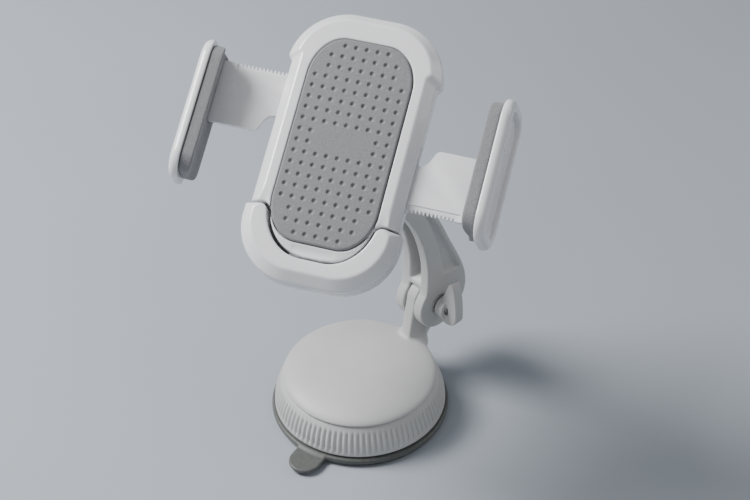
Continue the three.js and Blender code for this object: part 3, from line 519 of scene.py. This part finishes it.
def rear_cover(x, y, z):
    back = cover_back
    top = cover_high[2]
    side = outline(x, y)
    body = np.maximum(round_max(side, back - z, 2.6), z - top)
    hollow = np.maximum(side + WALL + 0.4, back + WALL - z)
    zone = np.maximum(button_zone(x, y, SEAM_GAP, 3.0), button_low[2] - CLEAR - z)
    floor = slider_low[2] - CLEAR
    low_run, high_run = -slider_high[1] - 0.5, -slider_low[1] + 0.4
    slot_right = block(x, y, z, (20, low_run, floor), (60, high_run, 99))
    slot_left = block(x, y, z, (-60, -high_run, floor), (-20, -low_run, 99))
    posts = screw_holes(x, y, 3.2)
    spring_post = np.maximum(np.hypot(x, y) - 2.4, z - floor)
    pawl_post = np.maximum(np.hypot(x - pawl_at[0], y - pawl_at[1]) - 1.5, z - slider_high[2])
    posts = np.minimum(np.minimum(posts, spring_post), pawl_post)
    posts = np.maximum(posts, np.maximum(back + 1 - z, z - top))
    shell = round_max(body, -hollow, 0.3)
    for cut in (zone, slot_right, slot_left):
        shell = round_max(shell, -cut, 0.25)
    reach = np.hypot(x, y)
    cup = np.maximum(np.maximum(reach - CUP_INNER_R - CUP_WALL, z - back - 0.5), -1 - z)
    cup = np.maximum(cup, -np.where(z > 0, np.sqrt(reach ** 2 + z ** 2), reach) + CUP_INNER_R)
    for a in (0, 60, 120):
        across = np.abs(x * math.sin(math.radians(a)) - y * math.cos(math.radians(a))) - 0.6
        cup = np.maximum(cup, -np.maximum(across, z - 5))
    shell = np.minimum(np.minimum(shell, posts), cup)
    holes = np.minimum(screw_holes(x, y, 1.25), np.maximum(screw_holes(x, y, 2.2), z - back - 2.2))
    pin = np.maximum(reach - 0.9, back + 2 - z)
    return np.maximum(np.maximum(shell, -holes), -pin)


def grip_pad(x, y, z):
    edge = rounded_rect(x, y, *PAD_HALF, *PAD_CORNER, PAD_Y)
    body = np.maximum(round_max(edge, z - FACE, 0.7), pad_low[2] - z)
    step_x, step_y, radius, depth = DIMPLE
    row = np.floor((y - PAD_Y) / step_y)
    col = np.round(x / step_x)
    far = np.abs(row + 0.5)
    reach = np.where(far > 8, 2, np.where(far > 6, 3, 4))
    there = (np.abs(col) <= reach) & (far < 9) & ~((far < 1) & (np.abs(col) < 3))
    u, v = x - col * step_x, y - PAD_Y - (row + 0.5) * step_y
    centre = FACE - depth + radius
    dimple = np.where(there, np.sqrt(u * u + v * v + (z - centre) ** 2) - radius, 9)
    return soft_max(body, -dimple, 0.25)


def jaw_frame(x, z, side, front):
    """Coordinates of a jaw before it leans: how far out from the grip face, and height."""
    a = math.radians(JAW_LEAN)
    u, w = side * x - grip_x, z - front
    return u * math.cos(a) + w * math.sin(a), w * math.cos(a) - u * math.sin(a) + front


def jaw_outline(y, z, trim, front, depth):
    half_y = jaw_half_y - trim
    half_z = depth / 2 - trim
    corner = JAW_CORNER - trim
    return rounded_rect(y - jaw_y, z - (front - depth / 2), half_y, half_z, corner, corner)


def slider_opening(x, y, z, side):
    low_y, high_y = (slider_low[1], slider_high[1]) if side < 0 else (-slider_high[1], -slider_low[1])
    low = (-99, low_y - CLEAR, slider_low[2] - CLEAR)
    high = (99, high_y + CLEAR, slider_high[2] + CLEAR)
    return block(x, y, z, low, high)


def jaw_shell(side):
    def field(x, y, z):
        u, w = jaw_frame(x, z, side, jaw_front)
        inner = JAW_PAD_T + CLEAR
        rim = jaw_outline(y, w, 0, jaw_front, JAW_DEPTH)
        body = round_max(rim, u - inner - JAW_SHELL_T, 2.6)
        body = round_max(body, inner - u, 0.5)
        hollow = jaw_outline(y, w, RECESS_RIM, jaw_front, JAW_DEPTH)
        recess = round_max(hollow, inner + JAW_SHELL_T - RECESS_DEPTH - u, 0.4)
        body = soft_max(body, -recess, 0.7)
        gate = np.sqrt((y - jaw_y - 9) ** 2 + (w - jaw_front + JAW_DEPTH / 2) ** 2) - 1.0
        body = np.maximum(body, -np.maximum(gate, inner + JAW_SHELL_T - RECESS_DEPTH - 0.35 - u))
        opening = np.maximum(slider_opening(x, y, z, side), u - slider_end)
        return np.maximum(body, -opening)
    return field


def jaw_pad(side):
    def field(x, y, z):
        u, w = jaw_frame(x, z, side, jaw_front)
        rim = jaw_outline(y, w, 2.2, jaw_front + 1.5, JAW_DEPTH)
        body = round_max(rim, u - JAW_PAD_T, 0.2)
        body = round_max(body, -u, 0.6)
        trough = np.hypot(u + 14.6, w - (jaw_front - JAW_DEPTH / 2 + 2)) - 16.1
        body = soft_max(body, -trough, 0.8)
        return np.maximum(body, -slider_opening(x, y, z, side))
    return field


cover_back = sorted(cad_points("cover_screw_1", CRADLE)[:, 2])[0] - 0.8
button_finger = min(cad_points("pawl", CRADLE)[:, 1]) + 0.1
pawl_at = [v / MM for v in (CRADLE.inverted() @ Vector(JOINTS["pawl_swing"]["pos_m"]))]
shell_low, shell_high = local_box("jaw_shell_left", CRADLE)
jaw_high = local_box("jaw_pad_left", CRADLE)[1]
grip_x = -jaw_high[0]
jaw_y = (shell_low[1] + shell_high[1]) / 2
jaw_half_y = (shell_high[1] - shell_low[1]) / 2
jaw_front = shell_high[2] - (JAW_PAD_T + CLEAR + JAW_SHELL_T) * math.sin(math.radians(JAW_LEAN))
slider_points = cad_points("slider_left", CRADLE)
slider_end = jaw_frame(slider_points[:, 0], slider_points[:, 2], -1, jaw_front)[0].max() + 0.15

made = sculpt("cradle_frame", front_frame, frame_low, frame_high, 0.36, CRADLE)
finish_piece(made, "cradle", "front_frame", GLOSS_WHITE)
made = sculpt("cradle_back", rear_cover, cover_low, cover_high, 0.42, CRADLE)
finish_piece(made, "cradle", "rear_cover", GLOSS_WHITE)
made = sculpt("dimpled_pad", grip_pad, pad_low, pad_high, 0.22, CRADLE, 0.5)
finish_piece(made, "cradle", "grip_pad", PAD_GREY)
made = sculpt("bottom_button", release_button, button_low, button_high, 0.36, CRADLE)
finish_piece(made, "button", "release_button", GLOSS_WHITE)
for label, side in (("left", -1), ("right", 1)):
    low, high = local_box(f"jaw_shell_{label}", CRADLE)
    made = sculpt(f"jaw_cover_{label}", jaw_shell(side), low, high, 0.3, CRADLE)
    finish_piece(made, f"jaw_{label}", f"jaw_shell_{label}", GLOSS_WHITE)
    low, high = local_box(f"jaw_pad_{label}", CRADLE)
    made = sculpt(f"jaw_liner_{label}", jaw_pad(side), low, high, 0.3, CRADLE)
    finish_piece(made, f"jaw_{label}", f"jaw_pad_{label}", PAD_GREY)
    made = edged(f"slide_{label}", f"slider_{label}", 0.12)
    finish_piece(made, f"jaw_{label}", f"slider_{label}", GLOSS_WHITE)


# ---- Arm, knob and nut ----

WORLD = Matrix.Identity(4)
made = softened("swing_arm", "arm", WORLD, 0.4, 7)
finish_piece(made, "arm", "arm", SATIN_WHITE)
made = softened("wing_knob", "hinge_knob", WORLD, 0.25, 6)
finish_piece(made, "knob", "hinge_knob", SATIN_WHITE)
made = softened("ball_nut", "collar_nut", CRADLE, 0.3, 5)
finish_piece(made, "nut", "collar_nut", SATIN_WHITE)
made = edged("pivot_bolt", "hinge_bolt", 0.2)
finish_piece(made, "arm", "hinge_bolt", STEEL)


# ---- Base ----

ring_low, ring_high = local_box("lock_ring", WORLD)
dome_low, dome_high = local_box("dome", WORLD)
cup_low, cup_high = local_box("suction_cup", WORLD)
HINGE = [v / MM for v in JOINTS["arm_tilt"]["pos_m"]]


def dome_shell(r, z, edge, top):
    """A flattened dome's surface, as a distance."""
    height = top - GROOVE_Z
    q, h = r / edge, (z - GROOVE_Z) / height
    level = q ** DOME_POWER + np.abs(h) * h - 1
    slope = np.hypot(DOME_POWER * q ** (DOME_POWER - 1) / edge, 2 * np.abs(h) / height) + 1e-3
    return level / slope


def dome(x, y, z):
    r = np.hypot(x, y)
    outer = dome_shell(r, z, GROOVE_R, DOME_TOP)
    foot = (GROOVE_R - 1, GROOVE_Z + 2)
    plate = capsule(y, z, (HINGE[1], HINGE[2]), dome_high[1] - HINGE[1], foot, 5.5)
    plate = round_max(plate, np.abs(x) - LUG_HALF, 0.8)
    t = np.clip((z - GROOVE_Z) / 11, 0, 1)
    wide = LUG_HALF - 0.2 + 5.9 * (1 - t) ** 2
    deep = 6.6 - 2.6 * t
    flare = (np.hypot(x / wide, (y - (GROOVE_R - 2.6 + 5.4 * t)) / deep) - 1) * np.minimum(wide, deep)
    flare = np.maximum(flare, z - GROOVE_Z - 11)
    solid = soft_min(outer, soft_min(plate, flare, 1.5), 1.5)
    solid = np.maximum(solid, GROOVE_Z + 0.05 - z)
    inner = dome_shell(r, z, GROOVE_R - DOME_WALL, DOME_TOP - DOME_WALL)
    bolt = np.hypot(y - HINGE[1], z - HINGE[2]) - 2.65
    return np.maximum(np.maximum(solid, -inner), -bolt)


def suction_cup(x, y, z):
    r = np.hypot(x, y)
    low, top = cup_low[2], cup_high[2]
    edge = -cup_low[0]
    disc = round_max(round_max(r - edge, z - top, 0.8), low - z, 0.7)
    pocket = (23.0 - r) + (z - top) * 0.5
    disc = np.maximum(disc, -np.maximum(-pocket, low + 1 - z))
    a = math.radians(90 - TAB_ANGLE)
    along, across = x * math.cos(a) + y * math.sin(a), x * math.sin(a) - y * math.cos(a)
    tab = capsule(along, across, (30, 0), TAB_HALF, (TAB_LENGTH - TAB_HALF, 0), TAB_HALF)
    tab = round_max(round_max(tab, z - low - 1.7, 0.6), low - z, 0.5)
    tab = np.maximum(tab, 26 - along)
    return soft_min(disc, tab, 1.2)


made = sculpt("top_dome", dome, (dome_low[0], dome_low[1], GROOVE_Z), dome_high, 0.4)
finish_piece(made, "base", "dome", SATIN_WHITE)
made = sculpt("sucker", suction_cup, cup_low, cup_high, 0.34)
finish_piece(made, "base", "suction_cup", CUP_GREY)


def ring_profile():
    """The skirt's section, from the groove down to the foot and back up inside."""
    top, low, radius = GROOVE_Z - 0.3, ring_low[2], ring_high[0]
    points = [(GROOVE_R - 3.4, top), (GROOVE_R - 1.2, top), (GROOVE_R - 0.5, top - 0.15)]
    points += [(GROOVE_R - 0.05, top - 0.7)]
    steps = 12
    for i in range(1, steps + 1):
        t = i / steps
        z = top - 0.7 + (low + 1.1 - top + 0.7) * t
        points.append((GROOVE_R + (radius - GROOVE_R) * math.sin(t * math.pi / 2) ** 0.9, z))
    points += [(radius, low + 0.4), (radius - 0.4, low), (radius - 1.9, low), (GROOVE_R - 1.1, top - 1.8)]
    points += [(GROOVE_R - 3.4, top - 1.2)]
    return points[::-1]


def fluted(r, z, angle):
    """Scallops that fade out below the groove and above the foot."""
    top, low = GROOVE_Z - 2.4, ring_low[2] + 1.4
    fade = max(0.0, min(1.0, (top - z) / 1.5)) * max(0.0, min(1.0, (z - low) / 1.2))
    if r < GROOVE_R or fade == 0:
        return r
    return r - FLUTE_DEPTH * fade * (1 - abs(math.sin(FLUTES / 2 * angle)))


made = turned("fluted_ring", ring_profile(), FLUTES * 8, fluted)
finish_piece(made, "lock_ring", "lock_ring", SATIN_WHITE)

hub = frame["nodes"]["lock_ring"].data.copy()
hub_object = bpy.data.objects.new("ring_hub", hub)
bpy.context.scene.collection.objects.link(hub_object)
bm = bmesh.new()
bm.from_mesh(hub)
bmesh.ops.remove_doubles(bm, verts=bm.verts, dist=1e-6)
skirt = [v for v in bm.verts if math.hypot(v.co.x, v.co.y) > RING_KEEP_R * MM]
bmesh.ops.delete(bm, geom=skirt, context="VERTS")
bmesh.ops.bridge_loops(bm, edges=[e for e in bm.edges if e.is_boundary])
bmesh.ops.recalc_face_normals(bm, faces=bm.faces)
bm.to_mesh(hub)
bm.free()
hub.materials.clear()
hub.materials.append(SATIN_WHITE)
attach(hub_object, "lock_ring")

coil = edged("lift_coil", "plunger_spring", 0.05)
finish_piece(coil, "base", "plunger_spring", STEEL)
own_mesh(coil)

# CAD nodes that keep their shape get a better finish.
replaced = {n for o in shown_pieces() for n in (o.get("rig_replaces") or [])}
for part in frame["record"]["subparts"]:
    node = frame["nodes"].get(part["node"])
    if node is not None and part["node"] not in replaced:
        node.data.materials.clear()
        node.data.materials.append(KEPT[part["material_slot"]])
        node.data.polygons.foreach_set("use_smooth", [True] * len(node.data.polygons))
        node.data.set_sharp_from_angle(angle=math.radians(35))


# ---- Studio ----

def studio():
    half = FLOOR_HALF
    points = np.array([(-half, -half, 0), (half, -half, 0), (half, half, 0), (-half, half, 0)]) / MM
    floor = new_object("floor", points, [(0, 1, 2, 3)])
    material, tree, shader = node_material("floor")
    tone = two_tone(tree, noise(tree, 3, 2), *FLOOR_TONES)
    tree.links.new(tone, shader.inputs["Base Color"])
    shader.inputs["Roughness"].default_value = 0.7
    floor.data.materials.append(material)
    world = bpy.data.worlds.new("studio")
    world.use_nodes = True
    background = world.node_tree.nodes["Background"]
    background.inputs["Color"].default_value = (0.86, 0.9, 0.97, 1)
    background.inputs["Strength"].default_value = 0.26
    bpy.context.scene.world = world
    for name, place, size, power in LIGHTS:
        lamp = bpy.data.lights.new(name, "AREA")
        lamp.size = size
        lamp.energy = power
        holder = bpy.data.objects.new(name, lamp)
        holder.location = place
        holder.rotation_mode = "QUATERNION"
        holder.rotation_quaternion = (Vector((0, 0, 0.09)) - Vector(place)).to_track_quat("-Z", "Y")
        bpy.context.scene.collection.objects.link(holder)


def camera():
    data = bpy.data.cameras.new("camera")
    data.lens = CAMERA_LENS
    data.sensor_width = 36
    data.dof.use_dof = False
    holder = bpy.data.objects.new("camera", data)
    holder.location = CAMERA_AT
    holder.rotation_mode = "QUATERNION"
    aim = Vector(CAMERA_AIM).to_track_quat("-Z", "Y")
    turn = Matrix.Rotation(math.radians(-CAMERA_ROLL), 4, "Z").to_quaternion()
    holder.rotation_quaternion = aim @ turn
    bpy.context.scene.collection.objects.link(holder)
    bpy.context.scene.camera = holder


studio()
camera()
